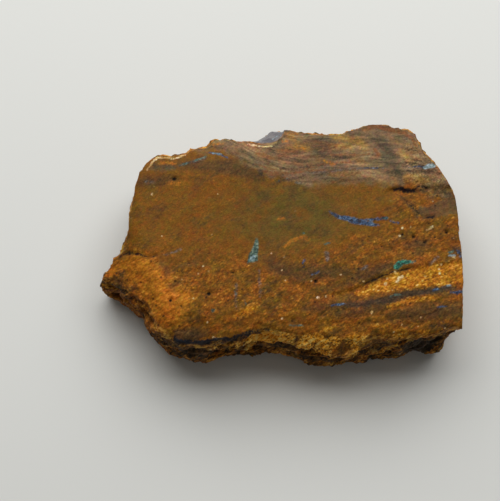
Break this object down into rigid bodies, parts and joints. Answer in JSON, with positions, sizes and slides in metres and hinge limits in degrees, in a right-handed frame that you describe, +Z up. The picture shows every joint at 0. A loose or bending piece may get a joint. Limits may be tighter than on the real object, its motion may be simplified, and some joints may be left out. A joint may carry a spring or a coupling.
{
  "type": "rough opal specimen",
  "caption": "Thumb-sized flat chip of brown ironstone with thin opal seams, nearly flat on top and rough broken all round, lying on its flat underside.",
  "frame": {"origin": "middle of the underside, below the centre of the stone's bounding box", "axes": "+X along the stone's length, towards its squarer end; +Y towards its banded edge; +Z up, out of the ground top face"},
  "size_m": [0.0268, 0.0178, 0.006],
  "materials": {
    "ironstone": "rough-ground brown ironstone with thin glassy blue and teal opal seams"
  },
  "bodies": {
    "root": {"rough_opal": "ironstone"}
  },
  "joints": []
}
